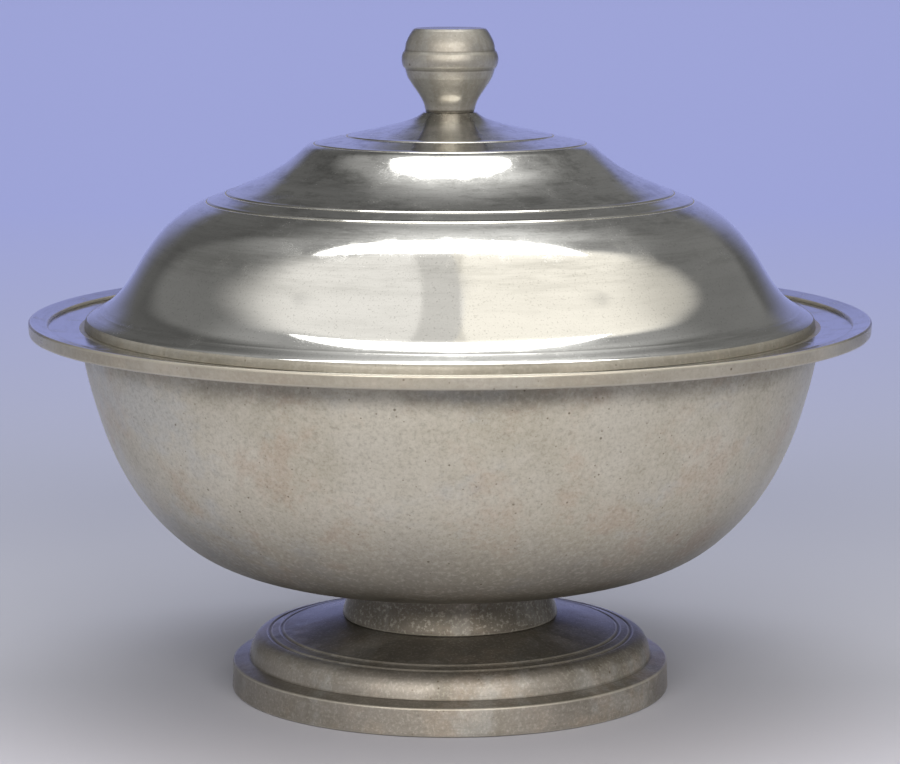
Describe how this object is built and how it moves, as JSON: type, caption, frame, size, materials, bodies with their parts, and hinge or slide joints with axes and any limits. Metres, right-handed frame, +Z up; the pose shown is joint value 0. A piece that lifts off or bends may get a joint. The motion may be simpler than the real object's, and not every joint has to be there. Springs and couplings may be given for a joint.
{
  "type": "covered casserole dish",
  "caption": "Round pewter serving dish: a deep bowl with a flat bordered brim on a turned foot, and a stepped dome lid that lifts off by a belted knob.",
  "frame": {"origin": "centre of the foot's standing ring, on the surface that the dish stands on", "axes": "+Z up along the dish's turned axis; +X and +Y are any two square directions, because the dish is round"},
  "size_m": [0.2666, 0.2666, 0.2111],
  "materials": {
    "satin_pewter": "fine satin pewter",
    "bright_pewter": "polished pewter",
    "cast_pewter": "cast pewter, turned and half polished",
    "brass": "plain turned brass"
  },
  "bodies": {
    "dish": {"foot": "satin_pewter", "foot_collar": "satin_pewter", "bowl": "satin_pewter", "brim_ring": "bright_pewter"},
    "cover": {"lid": "bright_pewter", "lid_bezel": "bright_pewter", "knob": "cast_pewter", "knob_washer": "brass", "knob_screw": "brass"}
  },
  "joints": [
    {"name": "lid_lift", "type": "slide", "parent": "dish", "child": "cover", "axis": [0, 0, 1], "range_m": [0, 0.12]}
  ]
}
